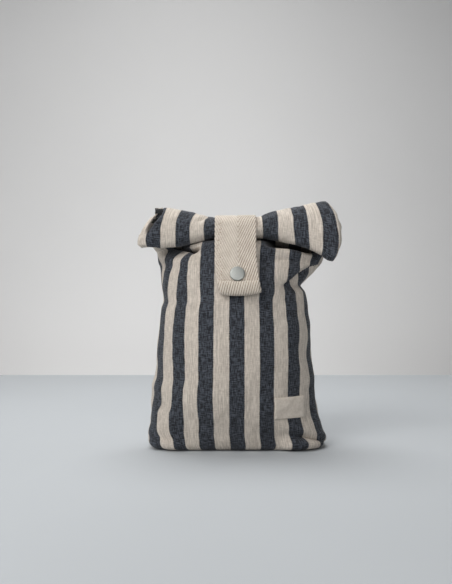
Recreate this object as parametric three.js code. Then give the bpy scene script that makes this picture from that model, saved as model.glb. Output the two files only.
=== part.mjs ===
// A lunch bag of striped cotton, standing filled, with its mouth rolled forward and strapped shut.
// Two sewn panels, a webbing strap, a press stud and a blank label. Millimetres, +Z up, the front faces -Y.
import * as THREE from "three";

// Cloth: each panel is seven stripe pitches across and lies just outside the surface on which the two meet
const STRIPE_PITCH = 30;
const PITCHES_ACROSS = 7;
const HALF_WIDTH = (STRIPE_PITCH * PITCHES_ACROSS) / 2;
const CLOTH = 1.2;
const LAYER_CLEARANCE = 0.25;
const PIECE_CLEARANCE = 0.3;
const TO_OUTER_FACE = LAYER_CLEARANCE + CLOTH;
const COLUMNS = 28;

// Rows of a table with named columns
function table(names, rows) {
  const fields = names.split(" ");
  return rows.map((row) => Object.fromEntries(fields.map((field, i) => [field, row[i]])));
}

// Level sections of the filled body. left, right: reach of the sides from the middle stripe; seam: how far
// back they lie; front, back: bulge of each panel; square: 2 is an ellipse, more is boxier; turnLeft, turnRight:
// how far the cloth is turned round that side towards the front; steps: rows of faces up to the next section
const SECTIONS = table("z left right seam front back square turnLeft turnRight steps", [
  [TO_OUTER_FACE, 78, 81.5, 1, 33, 28, 7, 0, 0, 1],
  [6, 88, 90.5, 0, 35, 31, 4, 0, 0, 1],
  [14, 88.3, 88.8, -1, 37, 36, 2.9, 0, 0, 1],
  [24, 87, 86, -0.4, 40.5, 40, 2.4, 0, 0, 2],
  [40, 85.5, 82, 1, 45, 45, 2.1, 0, 0, 2],
  [60, 86.3, 79, 3.3, 47.7, 46.5, 2.1, 5, 0, 1],
  [72, 82.3, 78, 5, 49, 47.3, 2.1, 4.5, 0, 2],
  [95, 80.5, 76.5, 8, 51, 48, 2.1, 2, 0, 2],
  [117, 80, 76.8, 12.4, 53, 47, 2.1, 3, 0, 2],
  [140, 77.5, 73.5, 17, 54, 45, 2.1, 1, 0, 1],
  [149, 74.5, 73, 18, 53.5, 44, 2.1, 1, 0, 1],
  [157, 76, 71.5, 19, 52.8, 43, 2.1, 3.5, 0, 1],
  [165, 78, 66.5, 19.6, 52, 42, 2.1, 6.5, -5, 1],
  [172, 79, 72.5, 20, 51, 41, 2.1, 8, 2, 1],
  [180, 80.5, 81.5, 20, 48.5, 38, 2.05, 9.5, 9, 1],
  [188, 83, 87, 20, 45, 34, 2, 10, 8, 2],
]);
const TURN = { from: 40, full: 85, hold: 125, to: 190 };

// Rows over the shoulders into the neck. shift: how far the stripes have moved from the body's places to the
// roll's; u: distance across the flat panel from its middle stripe; dx: a further move across. Under the roll
// the front panel is folded back into a deep slit. Both panels share their side seams
const NECK_STEPS = 2;
const FRONT_NECK = [
  {
    shift: 0.3,
    across: table("u dx y z", [
      [-105, 0, 18, 201],
      [-97, 2, 13, 200],
      [-90, 3, 8, 198.5],
      [-75, 3, -2, 195.8],
      [-62, 2, -8, 194.6],
      [-50, 1, -13.5, 194.6],
      [-42, 0, -16.5, 196.5],
      [-34, 0, -19, 200],
      [-22, 0, -20.5, 202],
      [22, 0, -20.5, 202],
      [38, 0, -16, 199],
      [52, 0, -10.5, 197.8],
      [75, 0, 1, 195.5],
      [90, 0, 9, 195.5],
      [105, 0, 18, 201],
    ]),
  },
  {
    shift: 0.45,
    across: table("u dx y z", [
      [-105, 0, 16, 205],
      [-97, 3, 14.5, 203.5],
      [-90, 5, 13, 201],
      [-75, 6, 14, 196.5],
      [-62, 5, 14, 195.2],
      [-50, 3, 10, 195.6],
      [-45, 2, 1, 197.8],
      [-41, 1, -11, 200.8],
      [-34, 0, -18, 204.5],
      [-22, 0, -19, 206.5],
      [22, 0, -18, 206],
      [38, 0, 4, 199.5],
      [52, 0, 12, 197],
      [75, 0, 15, 195.5],
      [90, 0, 14.5, 199],
      [105, 0, 16, 205],
    ]),
  },
  {
    shift: 0.6,
    across: table("u dx y z", [
      [-105, 0, 14, 209],
      [-90, 3, 14.5, 206],
      [-75, 4, 15, 203],
      [-62, 4, 11, 203.4],
      [-55, 4, 5, 204],
      [-50, 3, -1, 205],
      [-45, 2, -8, 205.4],
      [-41, 1, -13, 206],
      [-34, 0, -14, 208],
      [-22, 0, -10, 209.3],
      [22, 0, -8, 209.5],
      [38, 0, 11, 205],
      [52, 0, 16, 202.5],
      [75, 0, 17, 202.5],
      [90, 0, 15, 206],
      [105, 0, 14, 209],
    ]),
  },
  {
    shift: 0.75,
    across: table("u dx y z", [
      [-105, 0, 9.5, 217.5],
      [-90, 0, 14.5, 211],
      [-75, 2, 14.5, 208],
      [-62, 2, 13.5, 207.5],
      [-50, 2, 10, 208.5],
      [-44, 1, 10, 209],
      [-34, 0, 10, 209.8],
      [-22, 0, 10, 210.8],
      [22, 0, 10, 211],
      [38, 0, 14, 210.5],
      [52, 0, 15.5, 209],
      [75, 0, 16, 208.5],
      [90, 0, 15, 211],
      [105, 0, 9.5, 217.5],
    ]),
  },
  {
    shift: 0.9,
    across: table("u dx y z", [
      [-105, 0, 5, 226],
      [-62, 0, 12.5, 216],
      [-42, 0, 15, 218],
      [0, 0, 16, 219.5],
      [42, 0, 15, 218],
      [62, 0, 12.5, 217],
      [105, 0, 5, 226],
    ]),
  },
];
const BACK_NECK = [
  {
    shift: 0.3,
    across: table("u dx y z", [
      [-105, 0, 18, 201],
      [-80, 0, 31, 202.5],
      [0, 0, 46, 205],
      [80, 0, 31, 202.5],
      [105, 0, 18, 201],
    ]),
  },
  {
    shift: 0.45,
    across: table("u dx y z", [
      [-105, 0, 16, 205],
      [-80, 0, 26.5, 207.5],
      [0, 0, 40.5, 210.5],
      [80, 0, 26.5, 207.5],
      [105, 0, 16, 205],
    ]),
  },
  {
    shift: 0.6,
    across: table("u dx y z", [
      [-105, 0, 14, 209],
      [-80, 0, 21.5, 213],
      [0, 0, 35, 215.3],
      [80, 0, 21.5, 213],
      [105, 0, 14, 209],
    ]),
  },
  {
    shift: 0.75,
    across: table("u dx y z", [
      [-105, 0, 9.5, 217.5],
      [-80, 0, 15.8, 219.5],
      [0, 0, 27.8, 220.5],
      [80, 0, 15.8, 219.5],
      [105, 0, 9.5, 217.5],
    ]),
  },
  {
    shift: 0.9,
    across: table("u dx y z", [
      [-105, 0, 5, 226],
      [-80, 0, 10.3, 226],
      [0, 0, 20.3, 224.8],
      [80, 0, 10.3, 226],
      [105, 0, 5, 226],
    ]),
  },
];

// The rolled mouth, pinched under the strap and flaring to its ends. x: place of the column on the roll's
// front; top, bottom, front: reach of the outer turn; deep: half its depth; topIn, bottomIn: how far the end
// draws in; slant: how far the end leans over to the right from its middle to its top
const ROLL = table("u x top bottom front deep topIn bottomIn slant", [
  [-105, -96.5, 243, 202.5, -22, 13, 12, 3, 10],
  [-82, -75.5, 244.5, 202.5, -22, 14, 6.5, 0, 2],
  [-60, -54.5, 241, 205, -21.5, 15, 5.5, 0, 0],
  [-44, -39.5, 237, 209, -20.5, 16.5, 5, 0.5, 0],
  [-24, -20.5, 234.5, 212, -20, 17, 2, 0, 0],
  [24, 28, 236.5, 213, -20, 17, 1.5, -1, 0],
  [38, 42.5, 239.5, 210.5, -20.5, 16.5, 3, -1.5, 0],
  [60, 65, 244.5, 206, -21.5, 15, 5, -3, 0],
  [82, 86, 249.5, 195.5, -23, 13.5, 8, 0, 0],
  [97, 101, 251.5, 189, -23.8, 12.5, 11, 3.5, 0],
  [105, 106, 249.5, 190.5, -22.4, 11.5, 12.2, 4.5, 0],
]);
const ROLL_PITCH = 4;
const ROLL_START = 35;
const ROLL_TURNS = 1.5;
const STEPS_A_TURN = 14;

// A soft crease pressed into the left shoulder, from one place to another. around: distance along the cloth
// from the front's middle stripe, past the side seam on to the back
const CREASE = { from: { around: -135, z: 188 }, to: { around: -60, z: 184 }, width: 6, depth: 3 };

// The right shoulder's puff over its pinched side, along a line from right to left. rise: above the line;
// draw: how far the cloth is drawn in below it; width: of the turn between them
const OVERHANG = table("around z rise draw width", [
  [120, 192, 0, 0, 20],
  [97, 190, 0.5, 0.5, 20],
  [84.5, 187, 2, 2.5, 14],
  [75.7, 182.5, 3, 5, 9],
  [65.5, 177.5, 3, 5.5, 5.5],
  [58, 172, 2.2, 4.2, 4.5],
  [50, 168.5, 1, 2.2, 4],
  [42, 167, 0, 0, 4],
]);
const RISE_REACH = 18;
const DRAW_REACH = 12;

// Strap: webbing sewn on at backEnd, over the roll, then clear of the front by out at each height
const STRAP = { width: 41, thick: 2, backEnd: 150, leaveAngle: 165, columns: 6, freeStep: 0.5 };
const STRAP_LEAN = { topX: -1.2, footX: 4.8, skew: 0.04 };
const STRAP_FREE = table("z out", [
  [200, 5.6],
  [188, 5.3],
  [176, 4.8],
  [167, 5.5],
  [162, 5.3],
  [154.5, 4.3],
]);
const HEM = { top: 166, bulge: 1.6, fold: 1.2 };

// Press stud, measured along its axis from the strap's inner face. Profiles are shares of radius and height
const STUD = { z: 176, capRadius: 7.5, capHigh: 2.2 };
const SOCKET = { radius: 6, thick: 2, boreRadius: 2.6, boreDeep: 1.5, roundedRadius: 0.9, roundedHeight: 0.7 };
const POST = { radius: 2.2, waist: 0.8, tip: 0.7, tipLong: 0.5 };
const FLANGE = { radius: 5, thick: 0.8, faceClearance: 0.5 };
const CAP_PROFILE = table("radius height", [
  [0, 0],
  [0.92, 0],
  [1, 0.25],
  [1, 0.5],
  [0.93, 0.8],
  [0.75, 0.96],
  [0, 1],
]);
const LATHE_STEPS = 28;

// Label on the lower right of the front, across the cloth and up from the floor
const LABEL = { fromU: 38, toU: 75.4, fromZ: 33.1, toZ: 55.1, thick: 1, columns: 6, rows: 4 };

// Fineness of the working curves
const SECTION_SAMPLES = 60;
const BISECTIONS = 40;
const NUDGE = { row: 0.05, across: 1 };

// Reads a field of a table at any place between its rows, by a cubic that doesn't overshoot
function readTable(rows, key, at, field) {
  const slope = (k) => (rows[k + 1][field] - rows[k][field]) / (rows[k + 1][key] - rows[k][key]);
  const tangent = (k) => {
    if (k === 0) return slope(0);
    if (k === rows.length - 1) return slope(k - 1);
    const product = slope(k - 1) * slope(k);
    return product <= 0 ? 0 : (2 * product) / (slope(k - 1) + slope(k));
  };
  let i = 0;
  while (i < rows.length - 2 && at > rows[i + 1][key]) i += 1;
  const span = rows[i + 1][key] - rows[i][key];
  const t = THREE.MathUtils.clamp((at - rows[i][key]) / span, 0, 1);
  const ease = t * t * (3 - 2 * t);
  const lead = t * (1 - t) * (1 - t) * span * tangent(i);
  const tail = t * t * (1 - t) * span * tangent(i + 1);
  return rows[i][field] + ease * (rows[i + 1][field] - rows[i][field]) + lead - tail;
}

// Quarter of a level section, from the panel's middle to its side, as points by length along it
function quarterSection(reach, bulge, square) {
  const outline = [];
  for (let i = 0; i <= SECTION_SAMPLES; i += 1) {
    const angle = (Math.PI / 2) * (i / SECTION_SAMPLES);
    const across = reach * Math.sin(angle) ** (2 / square);
    const deep = bulge * Math.cos(angle) ** (2 / square);
    outline.push(new THREE.Vector2(across, i === SECTION_SAMPLES ? 0 : deep));
  }
  const lengths = [0];
  for (let i = 1; i <= SECTION_SAMPLES; i += 1) {
    lengths.push(lengths[i - 1] + outline[i].distanceTo(outline[i - 1]));
  }
  return (share) => {
    const goal = share * lengths[SECTION_SAMPLES];
    let i = 1;
    while (i < SECTION_SAMPLES && lengths[i] < goal) i += 1;
    return outline[i - 1].clone().lerp(outline[i], (goal - lengths[i - 1]) / (lengths[i] - lengths[i - 1]));
  };
}

// The place on a line that is nearest to another, as a share of the line and the way from it
function nearestOn(from, to, place) {
  const start = new THREE.Vector2(from.around, from.z);
  const line = new THREE.Vector2(to.around, to.z).sub(start);
  const away = place.clone().sub(start);
  const along = THREE.MathUtils.clamp(away.dot(line) / line.lengthSq(), 0, 1);
  away.addScaledVector(line, -along);
  return { along, off: away.length(), side: Math.sign(line.cross(away)) };
}

function creaseDepth(place) {
  const { along, off } = nearestOn(CREASE.from, CREASE.to, place);
  return CREASE.depth * Math.sin(Math.PI * along) * Math.exp(-((off / CREASE.width) ** 2));
}

// How far the overhang's line moves the cloth out at a place
function overhangRise(place) {
  let nearest = { off: Infinity };
  for (let i = 1; i < OVERHANG.length; i += 1) {
    const [first, second] = [OVERHANG[i - 1], OVERHANG[i]];
    const found = nearestOn(first, second, place);
    if (found.off < nearest.off) nearest = { ...found, first, second };
  }
  const read = (field) => THREE.MathUtils.lerp(nearest.first[field], nearest.second[field], nearest.along);
  const up = -nearest.side * nearest.off;
  const width = read("width");
  const puff = read("rise") * Math.exp(-((up / RISE_REACH) ** 2));
  const hollow = -read("draw") * Math.exp(-(((up + width) / DRAW_REACH) ** 2));
  return THREE.MathUtils.lerp(hollow, puff, THREE.MathUtils.smoothstep(up, -width, 0));
}

// How far round its section from the front's middle a place lies, when the cloth is turned round the sides
function turnedRound(around, section) {
  const turn = around < 0 ? section.turnLeft : section.turnRight;
  const out = Math.abs(around);
  const begun = THREE.MathUtils.smoothstep(out, TURN.from, TURN.full);
  const ended = THREE.MathUtils.smoothstep(out, TURN.hold, TURN.to);
  return out - turn * begun * (1 - ended);
}

function sectionRow(section, panel) {
  const quarters = {};
  for (const bulge of ["front", "back"]) {
    for (const side of ["left", "right"]) {
      quarters[bulge + side] = quarterSection(section[side], section[bulge], section.square);
    }
  }
  return (u) => {
    const side = u < 0 ? -1 : 1;
    const around = panel === FRONT ? u : side * (2 * HALF_WIDTH - Math.abs(u));
    const lies = turnedRound(around, section);
    const onFront = lies <= HALF_WIDTH;
    const reach = onFront ? lies : 2 * HALF_WIDTH - lies;
    const quarter = quarters[(onFront ? "front" : "back") + (side < 0 ? "left" : "right")];
    const place = quarter(reach / HALF_WIDTH);
    const y = section.seam + (onFront ? -place.y : place.y);
    const point = new THREE.Vector3(side * place.x, y, section.z);
    const inward = new THREE.Vector3(-point.x / 2, section.seam - point.y, 0).normalize();
    const cloth = new THREE.Vector2(around, section.z);
    return point.addScaledVector(inward, creaseDepth(cloth) - overhangRise(cloth));
  };
}

function neckRow(row, panel) {
  const body = sectionRow(SECTIONS.at(-1), panel);
  return (u) => {
    const read = (field) => readTable(row.across, "u", u, field);
    const x = THREE.MathUtils.lerp(body(u).x, readTable(ROLL, "u", u, "x"), row.shift) + read("dx");
    return new THREE.Vector3(x, read("y"), read("z"));
  };
}

// One line along the roll: 90 degrees is its top, 180 its front and 270 its underside
function rollRow(degrees) {
  const angle = THREE.MathUtils.degToRad(degrees);
  const wound = ROLL_PITCH * ((degrees - 180) / 360) + TO_OUTER_FACE;
  return (u) => {
    const read = (field) => readTable(ROLL, "u", u, field);
    const high = (read("top") - read("bottom")) / 2;
    const centreY = read("front") + read("deep");
    const centreZ = (read("top") + read("bottom")) / 2 - ROLL_PITCH / 4;
    const drawnIn = Math.sin(angle) ** 2 * (Math.sin(angle) > 0 ? read("topIn") : read("bottomIn"));
    return new THREE.Vector3(
      read("x") - Math.sign(u) * drawnIn + read("slant") * Math.sin(angle),
      centreY + (read("deep") - wound) * Math.cos(angle),
      centreZ + (high - wound) * Math.sin(angle),
    );
  };
}

// Every row of a panel from its bottom edge to the mouth; steps: how finely the cloth is cut up to the next row
function panelRows(panel) {
  const rows = SECTIONS.map((section) => ({ at: sectionRow(section, panel), steps: section.steps }));
  for (const row of panel.neck) rows.push({ at: neckRow(row, panel), steps: NECK_STEPS });
  const rollSteps = Math.round(ROLL_TURNS * STEPS_A_TURN);
  for (let i = 0; i <= rollSteps; i += 1) {
    rows.push({ at: rollRow(ROLL_START + (360 * i) / STEPS_A_TURN), steps: 1 });
  }
  return rows;
}

const FRONT = { facing: -1, neck: FRONT_NECK };
const BACK = { facing: 1, neck: BACK_NECK };
for (const panel of [FRONT, BACK]) panel.rows = panelRows(panel);

// A column of cloth from the bottom edge to the mouth, as a curve through the panel's rows
function columnCurve(panel, u) {
  const points = panel.rows.map((row) => row.at(u));
  return new THREE.CatmullRomCurve3(points, false, "centripetal");
}

// Place on a panel's column, counted in rows
function placeOn(curve, row) {
  return curve.getPoint(row / (curve.points.length - 1));
}

// Row at which a rising column reaches a height on the body
function rowAtHeight(curve, z) {
  let low = 0;
  let high = SECTIONS.length + 1;
  for (let i = 0; i < BISECTIONS; i += 1) {
    const middle = (low + high) / 2;
    if (placeOn(curve, middle).z < z) low = middle;
    else high = middle;
  }
  return low;
}

// Unit normals of a grid of points, towards the panel's outside
function gridNormals(grid, facing) {
  const last = grid.length - 1;
  return grid.map((row, r) =>
    row.map((_, c) => {
      const side = row[Math.min(c + 1, row.length - 1)].clone().sub(row[Math.max(c - 1, 0)]);
      const up = grid[Math.min(r + 1, last)][c].clone().sub(grid[Math.max(r - 1, 0)][c]);
      return side.cross(up).multiplyScalar(-facing).normalize();
    }),
  );
}

// Moves a grid along its normals, by one distance or by a distance for each row
function offsetGrid(grid, normals, distance) {
  const by = typeof distance === "function" ? distance : () => distance;
  return grid.map((row, r) => row.map((point, c) => point.clone().addScaledVector(normals[r][c], by(r))));
}

// Closed solid between two grids of points; a flat base also closes the area that the first row runs round
function sheetGeometry(inner, outer, facing, flatBase) {
  const rows = inner.length;
  const columns = inner[0].length;
  const points = [...inner.flat(), ...outer.flat()];
  const innerAt = (r, c) => r * columns + c;
  const outerAt = (r, c) => rows * columns + r * columns + c;
  const index = [];
  const face = (a, b, c) => index.push(...(facing < 0 ? [a, b, c] : [a, c, b]));
  const quad = (a, b, c, d) => {
    face(a, b, c);
    face(a, c, d);
  };
  for (let r = 0; r < rows - 1; r += 1) {
    for (let c = 0; c < columns - 1; c += 1) {
      quad(outerAt(r, c), outerAt(r, c + 1), outerAt(r + 1, c + 1), outerAt(r + 1, c));
      quad(innerAt(r, c), innerAt(r + 1, c), innerAt(r + 1, c + 1), innerAt(r, c + 1));
    }
    quad(innerAt(r, 0), outerAt(r, 0), outerAt(r + 1, 0), innerAt(r + 1, 0));
    const end = columns - 1;
    quad(outerAt(r, end), innerAt(r, end), innerAt(r + 1, end), outerAt(r + 1, end));
  }
  const top = rows - 1;
  for (let c = 0; c < columns - 1; c += 1) {
    quad(outerAt(top, c), outerAt(top, c + 1), innerAt(top, c + 1), innerAt(top, c));
    if (!flatBase) quad(innerAt(0, c), innerAt(0, c + 1), outerAt(0, c + 1), outerAt(0, c));
  }
  if (flatBase) {
    const contour = outer[0].map((point) => new THREE.Vector2(point.x, -facing * point.y));
    for (const [a, b, c] of THREE.ShapeUtils.triangulateShape(contour, [])) {
      face(outerAt(0, a), outerAt(0, c), outerAt(0, b));
      face(innerAt(0, a), innerAt(0, b), innerAt(0, c));
    }
    quad(innerAt(0, 0), innerAt(0, columns - 1), outerAt(0, columns - 1), outerAt(0, 0));
  }
  const geometry = new THREE.BufferGeometry().setFromPoints(points);
  geometry.setIndex(index);
  geometry.computeVertexNormals();
  return geometry;
}

// Where a panel is cut into rows of faces, from its bottom edge to the mouth
function cutRows(panel) {
  const last = panel.rows.length - 1;
  const cuts = [];
  for (let r = 0; r < last; r += 1) {
    for (let s = 0; s < panel.rows[r].steps; s += 1) cuts.push(r + s / panel.rows[r].steps);
  }
  return [...cuts, last];
}

function panelGeometry(panel) {
  const reach = HALF_WIDTH - PIECE_CLEARANCE / 2;
  const curves = [];
  for (let c = 0; c <= COLUMNS; c += 1) curves.push(columnCurve(panel, reach * ((2 * c) / COLUMNS - 1)));
  const grid = cutRows(panel).map((row) => curves.map((curve) => placeOn(curve, row)));
  const normals = gridNormals(grid, panel.facing);
  normals[0] = normals[0].map(() => new THREE.Vector3(0, 0, -1));
  const inner = offsetGrid(grid, normals, LAYER_CLEARANCE);
  const outer = offsetGrid(grid, normals, TO_OUTER_FACE);
  return sheetGeometry(inner, outer, panel.facing, true);
}

// Place on the outside of a panel, lifted clear of the cloth by a height
function outsideOf(panel, u, row, lift) {
  const grid = [-NUDGE.row, 0, NUDGE.row].map((up) =>
    [-NUDGE.across, 0, NUDGE.across].map((side) => placeOn(columnCurve(panel, u + side), row + up)),
  );
  const normal = gridNormals(grid, panel.facing)[1][1];
  return grid[1][1].addScaledVector(normal, TO_OUTER_FACE + lift);
}

// Inner face of the strap: a grid from its sewn end on the back to its hem
function strapInnerFace() {
  const first = rowAtHeight(columnCurve(BACK, 0), STRAP.backEnd);
  const rollFirst = SECTIONS.length + BACK_NECK.length;
  const last = rollFirst + ((STRAP.leaveAngle - ROLL_START) / 360) * STEPS_A_TURN;
  const onBag = [first, ...cutRows(BACK).filter((row) => row > first && row < last), last];
  const frontMiddle = columnCurve(FRONT, 0);
  const columns = [];
  for (let c = 0; c <= STRAP.columns; c += 1) {
    const side = STRAP.width * (c / STRAP.columns - 0.5);
    const points = onBag.map((row) => {
      const x = side + STRAP_LEAN.topX;
      return outsideOf(BACK, x, row, PIECE_CLEARANCE).setX(x);
    });
    for (const free of STRAP_FREE) {
      const face = outsideOf(FRONT, 0, rowAtHeight(frontMiddle, free.z), 0);
      const lean = THREE.MathUtils.mapLinear(free.z, STRAP_FREE[0].z, STRAP_FREE.at(-1).z, 0, 1) ** 2;
      const x = side + THREE.MathUtils.lerp(STRAP_LEAN.topX, STRAP_LEAN.footX, lean);
      points.push(new THREE.Vector3(x, face.y - free.out, free.z + STRAP_LEAN.skew * side * lean));
    }
    const curve = new THREE.CatmullRomCurve3(points, false, "centripetal");
    const column = points.slice(0, onBag.length - 1);
    for (let row = onBag.length - 1; row <= points.length - 1; row += STRAP.freeStep) {
      column.push(placeOn(curve, row));
    }
    columns.push(column);
  }
  return columns[0].map((_, r) => columns.map((column) => column[r]));
}

// The strap's thickness is doubled at its end, where it is turned under and stitched
function strapGeometry(face) {
  const normals = gridNormals(face, BACK.facing);
  const centre = STRAP.columns / 2;
  const rowsOnHem = face.map((row, r) => r > face.length / 2 && row[centre].z < HEM.top);
  const swell = (r) => (rowsOnHem[r] ? 1 : 0);
  const inner = offsetGrid(face, normals, (r) => -HEM.fold * swell(r));
  const outer = offsetGrid(face, normals, (r) => STRAP.thick + HEM.bulge * swell(r));
  return sheetGeometry(inner, outer, BACK.facing, false);
}

function labelGeometry() {
  const grid = [];
  for (let r = 0; r <= LABEL.rows; r += 1) {
    const z = THREE.MathUtils.lerp(LABEL.fromZ, LABEL.toZ, r / LABEL.rows);
    const row = [];
    for (let c = 0; c <= LABEL.columns; c += 1) {
      const u = THREE.MathUtils.lerp(LABEL.fromU, LABEL.toU, c / LABEL.columns);
      row.push(outsideOf(FRONT, u, rowAtHeight(columnCurve(FRONT, u), z), PIECE_CLEARANCE));
    }
    grid.push(row);
  }
  const normals = gridNormals(grid, FRONT.facing);
  return sheetGeometry(grid, offsetGrid(grid, normals, LABEL.thick), FRONT.facing, false);
}

// Turned piece from (radius, height) pairs that start and end on its axis
function turned(profile) {
  return new THREE.LatheGeometry(
    profile.map(([radius, height]) => new THREE.Vector2(radius, height)),
    LATHE_STEPS,
  );
}

function capGeometry() {
  return turned(CAP_PROFILE.map(({ radius, height }) => [radius * STUD.capRadius, height * STUD.capHigh]));
}

function socketGeometry() {
  const { radius, thick, boreRadius, boreDeep } = SOCKET;
  return turned([
    [0, boreDeep - thick],
    [boreRadius, boreDeep - thick],
    [boreRadius, -thick],
    [radius * SOCKET.roundedRadius, -thick],
    [radius, -thick * SOCKET.roundedHeight],
    [radius, 0],
    [0, 0],
  ]);
}

function postGeometry(flangeFoot) {
  const flangeTop = flangeFoot + FLANGE.thick;
  const pinTop = -SOCKET.thick + SOCKET.boreDeep - 2 * PIECE_CLEARANCE;
  return turned([
    [0, flangeFoot],
    [FLANGE.radius, flangeFoot],
    [FLANGE.radius, flangeTop],
    [POST.radius * POST.waist, flangeTop],
    [POST.radius, pinTop - POST.tipLong],
    [POST.radius * POST.tip, pinTop],
    [0, pinTop],
  ]);
}

function material(color, roughness, metalness = 0) {
  return new THREE.MeshStandardMaterial({ color, roughness, metalness });
}

function piece(name, geometry, look) {
  const mesh = new THREE.Mesh(geometry, look);
  mesh.name = name;
  return mesh;
}

// The press stud's three pieces on one axis, square to the strap
function pressStud(strapFace, metal) {
  const stud = new THREE.Group();
  const centre = STRAP.columns / 2;
  const front = strapFace.filter((_, r) => r > strapFace.length / 2);
  const below = front.findIndex((row) => row[centre].z <= STUD.z);
  const [upper, lower] = [front[below - 1][centre], front[below][centre]];
  const seat = upper.clone().lerp(lower, (upper.z - STUD.z) / (upper.z - lower.z));
  const across = new THREE.Vector3(1, 0, 0);
  const axis = upper.clone().sub(lower).cross(across).negate().normalize();
  stud.quaternion.setFromUnitVectors(new THREE.Vector3(0, 1, 0), axis);
  stud.position.copy(seat);
  const cloth = outsideOf(FRONT, 0, rowAtHeight(columnCurve(FRONT, 0), STUD.z), 0);
  const flangeFoot = cloth.sub(seat).dot(axis) + FLANGE.faceClearance;
  const cap = piece("stud_cap", capGeometry(), metal);
  cap.position.y = STRAP.thick + PIECE_CLEARANCE;
  const socket = piece("stud_socket", socketGeometry(), metal);
  socket.position.y = -PIECE_CLEARANCE;
  stud.add(cap, socket, piece("stud_post", postGeometry(flangeFoot), metal));
  return stud;
}

const stripedCotton = material("#8f8b84", 0.9);
const webbing = material("#d7cdbe", 0.95);
const labelCloth = material("#d9d2c6", 0.95);
const nickel = material("#b0b3ac", 0.35, 1);

const strapFace = strapInnerFace();
const bag = new THREE.Group();
bag.add(
  piece("front_panel", panelGeometry(FRONT), stripedCotton),
  piece("back_panel", panelGeometry(BACK), stripedCotton),
  piece("strap", strapGeometry(strapFace), webbing),
  pressStud(strapFace, nickel),
  piece("label", labelGeometry(), labelCloth),
);

// The part's origin is the middle of its box on the floor
const lunchBag = new THREE.Group();
lunchBag.add(bag);
const box = new THREE.Box3().setFromObject(bag, true);
const middle = box.getCenter(new THREE.Vector3());
bag.position.set(-middle.x, -middle.y, -box.min.z);

export default lunchBag;
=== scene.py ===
# A striped cotton lunch bag, standing filled, its mouth rolled forward and strapped shut.
import math

import bpy
import numpy as np
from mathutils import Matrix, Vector
from numpy.linalg import norm


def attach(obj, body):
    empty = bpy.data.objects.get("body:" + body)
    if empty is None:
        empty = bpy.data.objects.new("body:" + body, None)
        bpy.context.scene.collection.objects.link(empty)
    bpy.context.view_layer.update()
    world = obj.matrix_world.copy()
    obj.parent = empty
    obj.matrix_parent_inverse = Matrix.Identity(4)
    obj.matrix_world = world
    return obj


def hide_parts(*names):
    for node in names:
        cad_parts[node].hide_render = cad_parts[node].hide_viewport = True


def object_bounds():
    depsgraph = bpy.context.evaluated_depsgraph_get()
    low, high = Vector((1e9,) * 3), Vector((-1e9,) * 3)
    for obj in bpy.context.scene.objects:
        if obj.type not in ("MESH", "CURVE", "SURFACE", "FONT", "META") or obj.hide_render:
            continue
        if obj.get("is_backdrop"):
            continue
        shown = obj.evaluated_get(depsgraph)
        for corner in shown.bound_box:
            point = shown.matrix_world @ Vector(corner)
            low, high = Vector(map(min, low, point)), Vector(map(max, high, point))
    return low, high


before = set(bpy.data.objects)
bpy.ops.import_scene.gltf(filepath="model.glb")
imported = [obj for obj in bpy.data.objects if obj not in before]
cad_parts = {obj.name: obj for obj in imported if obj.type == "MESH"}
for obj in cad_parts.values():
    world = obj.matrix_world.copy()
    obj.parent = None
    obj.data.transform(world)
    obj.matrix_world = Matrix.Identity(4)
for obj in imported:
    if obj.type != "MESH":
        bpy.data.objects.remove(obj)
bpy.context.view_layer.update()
MM = 0.001


def table(names, *rows):
    """A short table with named columns."""
    return dict(zip(names.split(), np.array(rows, float).T))


def neck(share, *rows):
    """A row of the neck: share of the way to the roll, then u, move across, y and z of its columns."""
    return share, table("u dx y z", *rows)


# Cloth, in millimetres: laid out as the solids are, but thinner
PITCH = 30
PITCHES_ACROSS = 7
HALF_WIDTH = PITCH * PITCHES_ACROSS / 2
OUTER_FACE = 1.45
THICK = 0.9
SEAM_CLEARANCE = 0.15
SEAM_EDGE = HALF_WIDTH - SEAM_CLEARANCE
SEAM = {"draw": 0.9, "wide": 1.3}

# Where the cloth lies round the body: turned at the sides, tucked back at the right shoulder, dragged right
# on the base and pushed out at its front corners. A pair is where an effect starts and where it is full.
TURNED = {"left": (-40, -85), "leftEnd": (-190, -125), "right": (10, 45), "rightEnd": (190, 125)}
TUCK = {"by": 3.1, "around": (55, 82), "z": (178, 188)}
BASE_DRAG = {"by": 2, "z": (20, 4), "around": (50, -30), "end": (-200, -150)}
BASE_CORNER = {"at": 64, "wide": 22, "out": 3.5, "high": 2.6}

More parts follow.
